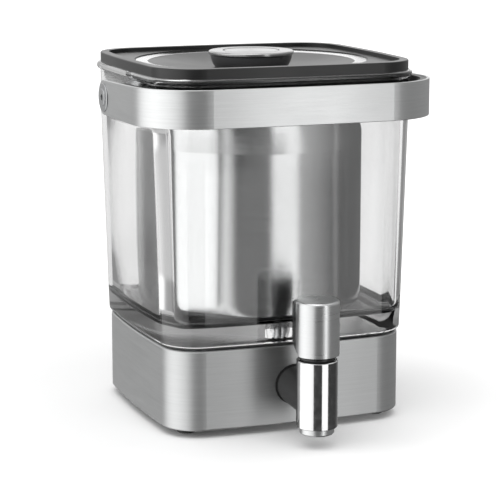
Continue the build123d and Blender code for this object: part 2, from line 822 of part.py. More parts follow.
# ---------------------------------------------------------------- lid and knob
# The dish in the lid, as (radius, z) from the middle outward, and the same line one wall below.
dish_mid = ((DISH_RADIUS + RING_RADIUS) / 2, DISH_Z + 1.4)
ring_z = DECK_Z - 1.5
step_z = DECK_Z - 0.9
hollow_top = DECK_Z - LID_WALL
skirt_grow = -0.8
skirt_wall = 2.6
boss_low = DISH_Z - 5.2
screw_bore = 2.2

with BuildPart() as dish_space:
    with BuildSketch(Plane.XZ):
        with BuildLine():
            Line((0, DISH_Z), (DISH_RADIUS, DISH_Z))
            ThreePointArc((DISH_RADIUS, DISH_Z), dish_mid, (RING_RADIUS, ring_z))
            Polyline(
                (RING_RADIUS, ring_z), (RECESS_RADIUS - 0.4, step_z), (RECESS_RADIUS, step_z + 0.3),
                (RECESS_RADIUS, LID_TOP + 2), (0, LID_TOP + 2), (0, DISH_Z),
            )
        make_face()
    revolve(axis=Axis.Z)

with BuildPart() as dish_under:
    with BuildSketch(Plane.XZ):
        with BuildLine():
            Line((0, DISH_Z - LID_WALL), (DISH_RADIUS, DISH_Z - LID_WALL))
            ThreePointArc(
                (DISH_RADIUS, DISH_Z - LID_WALL),
                (dish_mid[0], dish_mid[1] - LID_WALL),
                (RING_RADIUS, ring_z - LID_WALL),
            )
            Polyline(
                (RING_RADIUS, ring_z - LID_WALL), (RECESS_RADIUS + 1, hollow_top),
                (RECESS_RADIUS + 1, LID_TOP), (0, LID_TOP), (0, DISH_Z - LID_WALL),
            )
        make_face()
    revolve(axis=Axis.Z)

with BuildPart() as lid_hollow:
    with BuildSketch(Plane.XY.offset(SKIRT_BOTTOM)):
        add(footprint(skirt_grow - skirt_wall))
    extrude(amount=hollow_top - SKIRT_BOTTOM)
    add(dish_under.part, mode=Mode.SUBTRACT)

# Moulded lid: raised rim, flat deck, stepped round dish, skirt below, ribs and a screw boss inside.
with BuildPart() as lid_shell:
    with BuildSketch(Plane.XY.offset(RIM_TOP)):
        add(footprint(LID_GROW))
    extrude(amount=LID_TOP - RIM_TOP)
    fillet(lid_shell.faces().sort_by(Axis.Z)[-1].edges(), 0.7)
    with BuildSketch(Plane.XY.offset(DECK_Z)):
        add(footprint(LID_GROW - LID_RIM))
    extrude(amount=LID_TOP - DECK_Z, mode=Mode.SUBTRACT)
    with BuildSketch(Plane.XY.offset(SKIRT_BOTTOM)):
        add(footprint(skirt_grow))
    extrude(amount=RIM_TOP - SKIRT_BOTTOM)
    add(lid_hollow.part, mode=Mode.SUBTRACT)
    with BuildSketch(Plane.XY.offset(boss_low)):
        with PolarLocations(38, 8):
            Rectangle(66, 1.6)
        Circle(6.5)
    extrude(amount=ring_z - boss_low)
    add(dish_space.part, mode=Mode.SUBTRACT)
    with BuildSketch(Plane.XY.offset(boss_low)):
        Circle(screw_bore)
    extrude(amount=LID_TOP - boss_low, mode=Mode.SUBTRACT)
    with BuildSketch(Plane.XY.offset(SKIRT_BOTTOM + 2.4)):
        add(footprint(skirt_grow + 1))
        add(footprint(skirt_grow - 1.2), mode=Mode.SUBTRACT)
    extrude(amount=6, mode=Mode.SUBTRACT)
save(lid_shell.part, "lid_shell")

# Soft seal in the skirt's groove, with three lips toward the glass.
with BuildPart() as lid_seal:
    with BuildSketch(Plane.XY.offset(SKIRT_BOTTOM + 2.4)):
        add(footprint(skirt_grow - 0.1))
        add(footprint(skirt_grow - 1.2), mode=Mode.SUBTRACT)
    extrude(amount=6)
    for lip in range(3):
        with BuildSketch(Plane.XY.offset(SKIRT_BOTTOM + 2.8 + 2.2 * lip)):
            add(footprint(skirt_grow + 1.0))
            add(footprint(skirt_grow - 0.6), mode=Mode.SUBTRACT)
        extrude(amount=0.8)
save(lid_seal.part, "lid_seal")

# Knob: a moulded bowl-shaped body under a steel cap.
knob_seat = KNOB_TOP - KNOB_CAP
boss_top = knob_seat - 1.6

with BuildPart() as knob_body:
    with BuildSketch(Plane.XZ):
        with BuildLine():
            Line((screw_bore, DISH_Z), (DISH_RADIUS - 0.3, DISH_Z))
            ThreePointArc(
                (DISH_RADIUS - 0.3, DISH_Z), (26.1, DISH_Z + 3.4), (27.4, knob_seat)
            )
            Line((27.4, knob_seat), (25.2, knob_seat))
            ThreePointArc((25.2, knob_seat), (24.0, DISH_Z + 4.4), (21.6, DISH_Z + 2.4))
            Polyline(
                (21.6, DISH_Z + 2.4), (5.4, DISH_Z + 2.4), (5.4, boss_top),
                (screw_bore, boss_top), (screw_bore, DISH_Z),
            )
        make_face()
    revolve(axis=Axis.Z)
save(knob_body.part, "knob_body")

# Steel cap with a rolled edge and a ring groove, its lip set into the body.
cap_groove = 18.6

with BuildPart() as knob_cap:
    with BuildSketch(Plane.XZ):
        with BuildLine():
            Polyline(
                (KNOB_RADIUS - 1.2, KNOB_TOP),
                (cap_groove + 0.5, KNOB_TOP),
                (cap_groove + 0.5, KNOB_TOP - 0.5),
                (cap_groove - 0.5, KNOB_TOP - 0.5),
                (cap_groove - 0.5, KNOB_TOP - 0.1),
                (0, KNOB_TOP - 0.1),
                (0, knob_seat - 1.0),
                (25.1, knob_seat - 1.0),
                (25.1, knob_seat),
                (KNOB_RADIUS - 0.8, knob_seat),
                (KNOB_RADIUS, knob_seat + 0.8),
                (KNOB_RADIUS, KNOB_TOP - 1.2),
            )
            ThreePointArc(
                (KNOB_RADIUS, KNOB_TOP - 1.2),
                (KNOB_RADIUS - 0.35, KNOB_TOP - 0.35),
                (KNOB_RADIUS - 1.2, KNOB_TOP),
            )
        make_face()
    revolve(axis=Axis.Z)
save(knob_cap.part, "knob_cap")

# Screw up through the lid's boss into the knob.
with BuildPart() as knob_screw:
    with BuildSketch(Plane.XY.offset(boss_low - 2.6)):
        Circle(4.6)
    extrude(amount=2.6)
    chamfer(knob_screw.faces().sort_by(Axis.Z)[0].edges(), 0.6)
    with BuildSketch(Plane.XY.offset(boss_low)):
        Circle(screw_bore)
    extrude(amount=boss_top - boss_low)
    with BuildSketch(Plane.XY.offset(boss_low - 2.6)):
        Rectangle(4.6, 1.0)
        Rectangle(1.0, 4.6)
    extrude(amount=1.4, mode=Mode.SUBTRACT)
save(knob_screw.part, "knob_screw")

# ---------------------------------------------------------------- steeper
tube_inside = STEEPER_RADIUS - STEEPER_WALL
floor_top = STEEPER_BOTTOM + STEEPER_WALL
floor_hole = 52.0
bead_half = 1.6
bead_out = 0.8
rim_roll = 1.5

# Drawn steel tube, open at both ends, with a rolled bead below the top and a rolled rim.
tube_low_end = STEEPER_BOTTOM + STEEPER_ROUND

with BuildPart() as steeper_tube:
    with BuildSketch(Plane.XZ):
        with BuildLine():
            Line((STEEPER_RADIUS, tube_low_end), (STEEPER_RADIUS, BEAD_Z - bead_half))
            ThreePointArc(
                (STEEPER_RADIUS, BEAD_Z - bead_half),
                (STEEPER_RADIUS + bead_out, BEAD_Z),
                (STEEPER_RADIUS, BEAD_Z + bead_half),
            )
            Line((STEEPER_RADIUS, BEAD_Z + bead_half), (STEEPER_RADIUS, STEEPER_TOP - 2.4))
            ThreePointArc(
                (STEEPER_RADIUS, STEEPER_TOP - 2.4),
                (STEEPER_RADIUS + rim_roll, STEEPER_TOP - 1.2),
                (STEEPER_RADIUS, STEEPER_TOP),
            )
            Line((STEEPER_RADIUS, STEEPER_TOP), (tube_inside, STEEPER_TOP))
            Line((tube_inside, STEEPER_TOP), (tube_inside, BEAD_Z + bead_half))
            ThreePointArc(
                (tube_inside, BEAD_Z + bead_half),
                (tube_inside + bead_out, BEAD_Z),
                (tube_inside, BEAD_Z - bead_half),
            )
            Line((tube_inside, BEAD_Z - bead_half), (tube_inside, tube_low_end))
            Line((tube_inside, tube_low_end), (STEEPER_RADIUS, tube_low_end))
        make_face()
    revolve(axis=Axis.Z)
    with BuildSketch(Plane.YZ.offset(-STEEPER_RADIUS - 1)):
        with Locations((0, BAIL_Z)):
            Circle(RIVET_RADIUS)
    extrude(amount=2 * STEEPER_RADIUS + 2, mode=Mode.SUBTRACT)
save(steeper_tube.part, "steeper_tube")

# Pressed base welded flush to the tube: a round corner turned in to a flat floor ring.
with BuildPart() as steeper_base:
    with BuildSketch(Plane.XZ):
        with BuildLine():
            Line((floor_hole, STEEPER_BOTTOM), (STEEPER_RADIUS - STEEPER_ROUND, STEEPER_BOTTOM))
            RadiusArc(
                (STEEPER_RADIUS - STEEPER_ROUND, STEEPER_BOTTOM),
                (STEEPER_RADIUS, tube_low_end),
                -STEEPER_ROUND,
            )
            Line((STEEPER_RADIUS, tube_low_end), (tube_inside, tube_low_end))
            RadiusArc(
                (tube_inside, tube_low_end),
                (STEEPER_RADIUS - STEEPER_ROUND, floor_top),
                STEEPER_ROUND - STEEPER_WALL,
            )
            Line((STEEPER_RADIUS - STEEPER_ROUND, floor_top), (floor_hole, floor_top))
            Line((floor_hole, floor_top), (floor_hole, STEEPER_BOTTOM))
        make_face()
    revolve(axis=Axis.Z)
save(steeper_base.part, "steeper_base")

# Filter disc on the floor ring: a flat rim round fine mesh, here one thin sheet.
with BuildPart() as steeper_mesh:
    with BuildSketch(Plane.XY.offset(floor_top)):
        Circle(57.5)
    extrude(amount=0.4)
    with BuildSketch(Plane.XY.offset(floor_top)):
        Circle(57.5)
        Circle(52.5, mode=Mode.SUBTRACT)
    extrude(amount=1.0)
save(steeper_mesh.part, "steeper_mesh")

# Soft ring under the steeper, with gaps that let the coffee out to the jar.
with BuildPart() as steeper_foot:
    with BuildSketch(Plane.XY.offset(JAR_FLOOR + 0.1)):
        Circle(FOOT_RING)
        Circle(FOOT_RING - 4.5, mode=Mode.SUBTRACT)
    extrude(amount=STEEPER_BOTTOM - JAR_FLOOR - 0.1)
    with BuildSketch(Plane.XY.offset(JAR_FLOOR + 0.1)):
        with PolarLocations(FOOT_RING - 2, 12):
            Rectangle(12, 9)
    extrude(amount=1.8, mode=Mode.SUBTRACT)
save(steeper_foot.part, "steeper_foot")

# Carrying bail: a round wire folded down inside the top, with an eye at each end.
eye_in = BAIL_RADIUS - 2.0
eye_out = BAIL_RADIUS + 2.0

with BuildPart() as steeper_bail:
    with BuildLine(Plane.XY.offset(BAIL_Z)) as bail_path:
        ThreePointArc((BAIL_RADIUS, 0), (0, BAIL_RADIUS), (-BAIL_RADIUS, 0))
    with BuildSketch(Plane.XZ):
        with Locations((BAIL_RADIUS, BAIL_Z)):
            Circle(BAIL_WIRE)
    sweep(path=bail_path.line)
    for side_x in (eye_in, -eye_out):
        with BuildSketch(Plane.YZ.offset(side_x)):
            with Locations((0, BAIL_Z)):
                Circle(EYE_RADIUS)
        extrude(amount=eye_out - eye_in)
    with BuildSketch(Plane.YZ.offset(-eye_out - 1)):
        with Locations((0, BAIL_Z)):
            Circle(RIVET_RADIUS + 0.05)
    extrude(amount=2 * eye_out + 2, mode=Mode.SUBTRACT)
save(steeper_bail.part, "steeper_bail")

# Rivets through the tube wall that the bail swings on.
rivet_profile = [
    (0, eye_in - 1.6),
    (2.4, eye_in - 1.6),
    (3.2, eye_in - 1.0),
    (3.2, eye_in - 0.1),
    (RIVET_RADIUS, eye_in - 0.1),
    (RIVET_RADIUS, STEEPER_RADIUS + 0.05),
    (3.2, STEEPER_RADIUS + 0.05),
    (3.2, STEEPER_RADIUS + 0.4),
    (2.2, STEEPER_RADIUS + 1.0),
    (0, STEEPER_RADIUS + 1.0),
]

with BuildPart() as steeper_rivets:
    with BuildSketch(Plane.XY.offset(BAIL_Z)):
        with BuildLine():
            Polyline(*[(x, radius) for radius, x in rivet_profile], close=True)
        make_face()
    revolve(axis=Axis((0, 0, BAIL_Z), (1, 0, 0)))
    mirror(about=Plane.YZ)
save(steeper_rivets.part, "steeper_rivets")
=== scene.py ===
"""Cold brew coffee maker: glass jar on a brushed steel base, with tap, steeper, lid and strap handle."""

import math

import bmesh
import bpy
from mathutils import Matrix, Vector


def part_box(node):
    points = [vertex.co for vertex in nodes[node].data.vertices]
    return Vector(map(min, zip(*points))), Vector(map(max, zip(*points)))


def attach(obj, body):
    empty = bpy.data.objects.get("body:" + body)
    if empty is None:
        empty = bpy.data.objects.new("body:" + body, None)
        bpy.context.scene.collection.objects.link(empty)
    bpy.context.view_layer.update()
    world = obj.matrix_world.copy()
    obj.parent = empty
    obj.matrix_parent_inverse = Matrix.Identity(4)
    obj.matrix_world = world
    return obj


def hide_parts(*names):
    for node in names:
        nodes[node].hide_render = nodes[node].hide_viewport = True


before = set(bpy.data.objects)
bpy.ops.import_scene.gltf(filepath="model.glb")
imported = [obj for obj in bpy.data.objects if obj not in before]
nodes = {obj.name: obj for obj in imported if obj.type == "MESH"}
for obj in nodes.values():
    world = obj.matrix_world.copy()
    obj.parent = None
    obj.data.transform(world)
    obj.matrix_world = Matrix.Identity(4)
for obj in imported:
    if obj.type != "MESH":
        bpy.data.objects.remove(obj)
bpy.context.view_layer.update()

# ---------------------------------------------------------------- camera
# A long lens from the front left and a little above, turned to the middle of the maker, so that its
# upright edges stay nearly parallel.
view_from = Vector((-0.46605, -1.20959, 0.35861))
view_to = Vector((-0.00073, 0.02278, 0.1061))


def put_in(name, data):
    """A new object of that name in the scene."""
    thing = bpy.data.objects.new(name, data)
    bpy.context.scene.collection.objects.link(thing)
    return thing


long_lens = bpy.data.cameras.new("long_lens")
long_lens.lens = 141.5
long_lens.sensor_width = 36
long_lens.clip_end = 20
camera = put_in("camera", long_lens)
camera.location = view_from
camera.rotation_euler = (view_to - view_from).to_track_quat("-Z", "Y").to_euler()
bpy.context.scene.camera = camera
bpy.context.scene.view_settings.view_transform = "Standard"

# ---------------------------------------------------------------- studio
# The room: a wide soft box to the left, a narrow one to the right of the camera, a light ceiling and
# dark walls between. Sight lines, and what shows through glass behind the maker, meet a white backdrop.
WHITE = (1, 1, 1, 1)


def colour(sheet, share=1.0):
    """sRGB hex, such as #c8c6c2, as linear red, green, blue and alpha; share makes it darker or lighter."""
    parts = [int(sheet[i:i + 2], 16) / 255 for i in (1, 3, 5)]
    plain = [p / 12.92 if p <= 0.04045 else ((p + 0.055) / 1.055) ** 2.4 for p in parts]
    return (*[min(1, p * share) for p in plain], 1)


def node(tree, kind, links=None, values=None, **settings):
    """Adds one shader node: settings are its properties or its sockets by name, values its sockets by
    number, and links feed its sockets."""
    made = tree.nodes.new("ShaderNode" + kind)
    for key, value in settings.items():
        if hasattr(made, key):
            setattr(made, key, value)
        else:
            made.inputs[key.replace("_", " ")].default_value = value
    for socket, value in (values or {}).items():
        made.inputs[socket].default_value = value
    for socket, source in (links or {}).items():
        tree.links.new(source, made.inputs[socket])
    return made


room = bpy.data.worlds.new("studio_room")
bpy.context.scene.world = room
room.use_nodes = True
tree = room.node_tree
tree.nodes.clear()
toward = node(tree, "TexCoord").outputs["Generated"]
split = node(tree, "SeparateXYZ", {"Vector": toward}).outputs
left = node(tree, "Math", {0: split["X"]}, {1: -1.0}, operation="MULTIPLY")
front = node(tree, "Math", {0: split["Y"]}, {1: -1.0}, operation="MULTIPLY")
bearing = node(tree, "Math", {0: left.outputs[0], 1: front.outputs[0]}, operation="ARCTAN2")
turn = node(tree, "MapRange", {"Value": bearing.outputs[0]}, From_Min=-math.pi, From_Max=math.pi)

# Brightness round the room, as (bearing in degrees, brightness): 0 is the front and 90 the left. The
# low, level, high and polished walls show in steel in the open. Steel inside the jar mirrors the two
# inner walls, and the open glass itself shows the backdrop.
walls = {
    "low": (
        (-180, 0.45), (-150, 0.1), (-60, 0.08), (-9, 0.2), (31, 0.22), (45, 0.8), (60, 1.2), (90, 1.6),
        (115, 1.5), (135, 0.5), (180, 0.45),
    ),
    "level": (
        (-180, 0.5), (-158, 0.48), (-145, 0.3), (-100, 0.4), (-60, 0.4), (-32, 0.48), (-27, 2.4), (-20, 2.4),
        (-15, 0.3), (5, 0.27), (28, 0.27), (38, 0.95), (48, 1.1), (58, 1.4), (70, 1.55), (90, 1.85),
        (112, 1.65), (125, 1.2), (133, 0.65), (145, 0.55), (180, 0.5),
    ),
    "high": (
        (-180, 1.15), (-145, 1.15), (-130, 0.6), (-60, 0.4), (-32, 0.45), (-26, 2.3), (-20, 2.3), (-14, 0.4),
        (0, 0.3), (25, 0.33), (38, 0.95), (58, 1.4), (90, 1.85), (115, 1.6), (128, 1.0), (140, 0.9),
        (180, 1.15),
    ),
    "polished": (
        (-180, 0.5), (-150, 0.3), (-100, 0.06), (-42, 0.06), (-40, 1.6), (-7, 1.6), (-5, 0.06), (40, 0.06),
        (43, 1.4), (70, 1.7), (110, 1.8), (130, 1.6), (134, 0.4), (150, 0.1), (180, 0.4),
    ),
    "inner_low": (
        (-180, 0.6), (-176, 1), (-150, 1), (-146, 0.08), (-90, 0.03), (-72, 0.12), (-60, 0.26), (-38, 0.5),
        (-31, 0.55), (-27, 1.55), (-1.5, 1.55), (2, 0.12), (39, 0.07), (43, 0.8), (48, 1.25), (58, 1.75),
        (75, 2.0), (95, 2.0), (112, 1.7), (122, 0.7), (129, 0.05), (152, 0.06), (165, 0.3), (180, 0.6),
    ),
    "inner_high": (
        (-180, 0.35), (-120, 0.3), (-60, 0.25), (-38, 0.45), (-29, 1.4), (-17, 1.4), (-10, 0.3), (25, 0.2),
        (38, 0.7), (58, 1.2), (90, 1.6), (115, 1.4), (130, 0.5), (180, 0.35),
    ),
    "backdrop": (
        (-180, 1), (-100, 1), (-88, 0.4), (-60, 0.3), (-40, 0.3), (50, 0.3), (62, 1), (180, 1),
    ),
}
seen = {}
for name, stops in walls.items():
    ramp = node(tree, "ValToRGB", {"Fac": turn.outputs["Result"]})
    bands = ramp.color_ramp.elements
    while len(bands) > 1:
        bands.remove(bands[-1])
    for i, (degrees, value) in enumerate(stops):
        place_round = (degrees + 180) / 360
        band = bands[0] if i == 0 else bands.new(place_round)
        band.position = place_round
        band.color = (value, value, value, 1)
    seen[name] = ramp.outputs["Color"]

# One wall passes softly into the next between two heights, given as the height of a line of sight over
# its length.
for joined, start, end, below, above in (
    ("upper", -0.04, 0.1, "level", "high"),
    ("tap_and_upper", -0.21, -0.18, "polished", "upper"),
    ("all_but_low", -0.32, -0.29, "level", "tap_and_upper"),
    ("mirrored", -0.5, -0.4, "low", "all_but_low"),
    ("inner", -0.02, 0.08, "inner_low", "inner_high"),
):
    part = node(
        tree, "MapRange", {"Value": split["Z"]},
        interpolation_type="SMOOTHSTEP", From_Min=start, From_Max=end,
    )
    blend = node(tree, "Mix", {0: part.outputs["Result"], 6: seen[below], 7: seen[above]}, data_type="RGBA")
    seen[joined] = blend.outputs[2]

# A ray that has passed more than three glass faces and met steel sees the inner walls.
rays = node(tree, "LightPath").outputs
deep_inside = node(tree, "Math", {0: rays["Transmission Depth"]}, {1: 3.5}, operation="GREATER_THAN")
off_steel = node(
    tree, "Math", {0: deep_inside.outputs[0], 1: rays["Glossy Depth"]}, operation="MULTIPLY", use_clamp=True,
)
through = node(
    tree, "Mix", {0: off_steel.outputs[0], 6: seen["backdrop"], 7: seen["inner"]}, data_type="RGBA",
)
side = node(
    tree, "Mix", {0: rays["Is Transmission Ray"], 6: seen["mirrored"], 7: through.outputs[2]},
    data_type="RGBA",
)
overhead = node(
    tree, "MapRange", {"Value": split["Z"]},
    interpolation_type="SMOOTHSTEP", From_Min=0.45, From_Max=0.75,
)
whole = node(tree, "Mix", {0: overhead.outputs["Result"], 6: side.outputs[2]}, {7: WHITE}, data_type="RGBA")
shown = node(tree, "Mix", {0: rays["Is Camera Ray"], 6: whole.outputs[2]}, {7: WHITE}, data_type="RGBA")
background = node(tree, "Background", {"Color": shown.outputs[2]})
node(tree, "OutputWorld", {"Surface": background.outputs[0]})


def mesh_of(name, shape):
    """The mesh of a finished bmesh, which is freed."""
    made = bpy.data.meshes.new(name)
    shape.to_mesh(made)
    shape.free()
    return made


def finish(name):
    """A new material with an empty tree, its tree, and its place on the object."""
    material = bpy.data.materials.new(name)
    material.use_nodes = True
    material.node_tree.nodes.clear()
    return material, material.node_tree, node(material.node_tree, "TexCoord").outputs["Object"]


# Floor: a sweep of matt white paper, wide enough that its edge never shows. It glows a little to the
# camera, except round the maker, where it keeps the soft shadow. The glow is least a little behind the
# maker's left side, because the shadow is deepest in front and to the right.
sheet = bmesh.new()
bmesh.ops.create_grid(sheet, x_segments=1, y_segments=1, size=6)
floor = put_in("floor", mesh_of("floor", sheet))
floor.visible_glossy = False
floor.visible_transmission = False
floor.visible_shadow = False
paper, tree, place = finish("white_paper_sweep")
matte = node(tree, "BsdfDiffuse", Color=colour("#f2f2f2"))
looked_at = node(tree, "LightPath").outputs["Is Camera Ray"]
centred = node(tree, "Mapping", {"Vector": place}, Location=(0.12, -0.1, 0))
reach = node(tree, "VectorMath", {0: centred.outputs[0]}, operation="LENGTH")
fade = node(tree, "MapRange", {"Value": reach.outputs["Value"]}, From_Min=0.15, From_Max=0.55, To_Min=0.07)
strength = node(tree, "Math", {0: looked_at, 1: fade.outputs["Result"]}, operation="MULTIPLY")
glow = node(tree, "Emission", {"Strength": strength.outputs[0]}, Color=colour("#a8a8a8"))
both = node(tree, "AddShader", {0: matte.outputs[0], 1: glow.outputs[0]})
node(tree, "OutputMaterial", {"Surface": both.outputs[0]})
floor.data.materials.append(paper)

# One wide lamp above and to the left lays the soft shadow under the maker.
soft_box = bpy.data.lights.new("overhead_lamp", "AREA")
soft_box.shape = "RECTANGLE"
soft_box.size = 1.6
soft_box.size_y = 1.2
soft_box.energy = 9
lamp = put_in("overhead_lamp", soft_box)
lamp.location = (-0.4, -0.25, 1.7)
lamp.rotation_euler = (Vector((0, 0, 0)) - lamp.location).to_track_quat("-Z", "Y").to_euler()


# ---------------------------------------------------------------- base skirt
# The shell round the base: stainless sheet drawn to a rounded square and screwed to the chassis inside.
# It is belt-brushed level all round, so lamps smear upward into soft upright bands, and the grain shows
# as fine level streaks.
GRAIN_WIDTH = 0.0012     # coarser than a real 120-grit line, so that it shows
GRAIN_LENGTH = 0.035
HAND_MARK = 1 / 22       # 45 mm, the clouds that handling leaves


def middle(name):
    """The middle of a CAD node's box."""
    low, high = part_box(name)
    return (low + high) / 2


def wear(material, *names):
    """Puts a material on CAD nodes."""
    for name in names:
        slots = nodes[name].data.materials
        slots.clear()
        slots.append(material)


def brushed_steel(name, shade, rough, smear, axis, streak=0.05, grain=GRAIN_WIDTH):
    """Stainless steel whose grain runs level round an upright axis. smear is how far the grain draws
    lights out across itself, and streak is the contrast of its lines. Handling dulls it in clouds."""
    material, tree, place = finish(name)
    spot = node(tree, "Mapping", {"Vector": place}, Location=(-axis.x, -axis.y, 0))
    round_axis = node(tree, "VectorMath", {1: spot.outputs[0]}, {0: (0, 0, 1)}, operation="CROSS_PRODUCT")
    fine = node(tree, "Mapping", {"Vector": place}, Scale=(1 / GRAIN_LENGTH, 1 / GRAIN_LENGTH, 1 / grain))
    lines = node(tree, "TexNoise", {"Vector": fine.outputs[0]}, Scale=1.0, Detail=4.0, Roughness=0.7)
    cloud = node(tree, "TexNoise", {"Vector": place}, Scale=1 / HAND_MARK, Detail=2.0)
    spread = node(
        tree, "MapRange", {"Value": lines.outputs["Fac"]},
        From_Min=0.3, From_Max=0.7, To_Min=rough - 0.04, To_Max=rough + 0.04,
    )
    handled = node(
        tree, "MapRange", {"Value": cloud.outputs["Fac"]},
        From_Min=0.35, From_Max=0.65, To_Min=-0.015, To_Max=0.015,
    )
    dulled = node(tree, "Math", {0: spread.outputs["Result"], 1: handled.outputs["Result"]}, operation="ADD")
    tint = node(
        tree, "Mix", {0: lines.outputs["Fac"]},
        {6: colour(shade, 1 - 2 * streak), 7: colour(shade, 1 + 2 * streak)}, data_type="RGBA",
    )
    relief = node(tree, "Bump", {"Height": lines.outputs["Fac"]}, Strength=0.08, Distance=0.0003)
    steel = node(
        tree, "BsdfPrincipled",
        {"Base Color": tint.outputs[2], "Roughness": dulled.outputs[0],
         "Normal": relief.outputs[0], "Tangent": round_axis.outputs[0]},
        Metallic=1.0, Anisotropic=smear, Anisotropic_Rotation=0.25,
    )
    node(tree, "OutputMaterial", {"Surface": steel.outputs[0]})
    return material


jar_axis = middle("knob_cap")
skirt_steel = brushed_steel(
    "belt_brushed_stainless_sheet", "#bfc0c0", rough=0.46, smear=0.72, axis=jar_axis, streak=0.08,
)
wear(skirt_steel, "base_shell")


# ---------------------------------------------------------------- inside and under the base
# Chassis and bottom plate, injection-moulded in ABS with a fine spark-eroded grain that keeps them
# matt, on four pushed-in silicone feet and held by zinc-plated screws.
FLOW_MARK = 1 / 30       # 33 mm, the unevenness that the flow leaves in a moulding
MOTTLE = 1 / 240         # 4 mm, the faint mottle of plated and machined steel


def moulded(name, shade, rough, grit, depth):
    """Moulded plastic or rubber, a little uneven in shade and gloss; grit is the size of its surface
    grain and depth its relief, in metres."""
    material, tree, place = finish(name)
    grains = node(tree, "TexNoise", {"Vector": place}, Scale=1 / grit, Detail=2.0)
    flow = node(tree, "TexNoise", {"Vector": place}, Scale=1 / FLOW_MARK, Detail=3.0)
    gloss = node(
        tree, "MapRange", {"Value": flow.outputs["Fac"]},
        From_Min=0.3, From_Max=0.7, To_Min=rough - 0.03, To_Max=rough + 0.03,
    )
    tint = node(
        tree, "Mix", {0: flow.outputs["Fac"]}, {6: colour(shade, 0.85), 7: colour(shade, 1.15)},
        data_type="RGBA",
    )
    relief = node(tree, "Bump", {"Height": grains.outputs["Fac"]}, Strength=0.3, Distance=depth)
    body = node(
        tree, "BsdfPrincipled",
        {"Base Color": tint.outputs[2], "Roughness": gloss.outputs["Result"], "Normal": relief.outputs[0]},
        IOR=1.5,
    )
    node(tree, "OutputMaterial", {"Surface": body.outputs[0]})
    return material


def turned_steel(name, shade, rough):
    """Machined or plated steel too small to show its grain, with a faint mottle."""
    material, tree, place = finish(name)
    cloud = node(tree, "TexNoise", {"Vector": place}, Scale=1 / MOTTLE, Detail=3.0)
    gloss = node(
        tree, "MapRange", {"Value": cloud.outputs["Fac"]},
        From_Min=0.3, From_Max=0.7, To_Min=rough - 0.03, To_Max=rough + 0.05,
    )
    tint = node(
        tree, "Mix", {0: cloud.outputs["Fac"]}, {6: colour(shade, 0.92), 7: colour(shade, 1.06)},
        data_type="RGBA",
    )
    steel = node(
        tree, "BsdfPrincipled", {"Base Color": tint.outputs[2], "Roughness": gloss.outputs["Result"]},
        Metallic=1.0,
    )
    node(tree, "OutputMaterial", {"Surface": steel.outputs[0]})
    return material


grained_black = moulded("grained_black_abs", "#151515", rough=0.48, grit=0.0007, depth=0.00005)
wear(grained_black, "base_chassis", "base_plate")
black_rubber = moulded("black_silicone_rubber", "#0e0e0e", rough=0.62, grit=0.0005, depth=0.00003)
wear(black_rubber, "foot_front_left", "foot_front_right", "foot_rear_left", "foot_rear_right")
wear(turned_steel("zinc_plated_screws", "#b9bbbd", rough=0.3), "base_screws", "knob_screw")

# ---------------------------------------------------------------- jar
# A rounded square jar of soda-lime glass with a thick floor and a beaded rim, pressed in a mould and
# fire-polished. It stands on a silicone gasket on the base. Its walls wave very slightly, as pressed
# glass does, which bends the lines seen through it.
WAVE = 0.0625            # from one swell in a wall to the next
clear_glass, tree, place = finish("pressed_soda_lime_glass")
waves = node(tree, "TexNoise", {"Vector": place}, Scale=1 / WAVE, Detail=1.0)
relief = node(tree, "Bump", {"Height": waves.outputs["Fac"]}, Strength=0.25, Distance=0.0006)
melt = node(
    tree, "BsdfPrincipled", {"Normal": relief.outputs[0]},
    Base_Color=colour("#fbfbfb"), Roughness=0.0, IOR=1.52, Transmission_Weight=1.0,
)
# Shadow rays from outside pass straight through, so that the steeper and the floor are lit. A ray that
# the walls keep turning back is let out past its third reflection, or the corners would fill with dark.
open_air = node(tree, "BsdfTransparent", Color=colour("#f1f1f1"))
sight = node(tree, "LightPath").outputs
outside = node(tree, "Math", {0: sight["Transmission Depth"]}, {1: 0.5}, operation="LESS_THAN")
clear_shadow = node(tree, "Math", {0: sight["Is Shadow Ray"], 1: outside.outputs[0]}, operation="MULTIPLY")
lit = node(tree, "MixShader", {0: clear_shadow.outputs[0], 1: melt.outputs[0], 2: open_air.outputs[0]})
trapped = node(tree, "Math", {0: sight["Glossy Depth"]}, {1: 2.5}, operation="GREATER_THAN")
way_out = node(tree, "BsdfTransparent", Color=colour("#e3e3e3"))
let_out = node(tree, "MixShader", {0: trapped.outputs[0], 1: lit.outputs[0], 2: way_out.outputs[0]})
node(tree, "OutputMaterial", {"Surface": let_out.outputs[0]})

# Its foot is stippled where it stands on the gasket, and its glass is painted dark grey there as painted
# shade for the dark gap under the steeper, seen through the thick floor.
STIPPLE = 0.0028         # real stipple is near 1 mm, too fine to show
stippled_glass_painted_dark, tree, place = finish("stippled_soda_lime_glass_painted_shade")
dimples = node(tree, "TexVoronoi", {"Vector": place}, Scale=1 / STIPPLE)
relief = node(tree, "Bump", {"Height": dimples.outputs["Distance"]}, Strength=0.5, Distance=0.0006)
# Painted shade: a dark grey colour that lets little light through. Only the stipple's bump is real.
melt = node(
    tree, "BsdfPrincipled", {"Normal": relief.outputs[0]},
    Base_Color=colour("#343535"), Roughness=0.4, IOR=1.52, Transmission_Weight=0.35,
)
node(tree, "OutputMaterial", {"Surface": melt.outputs[0]})

HALF_WIDTH, HALF_DEPTH = 0.085, 0.0798     # the jar's outline at the foot of its walls
CORNER = 0.0248                            # the outside radius of its corners
BOW = 0.0042                               # how far each side swells out between its corners


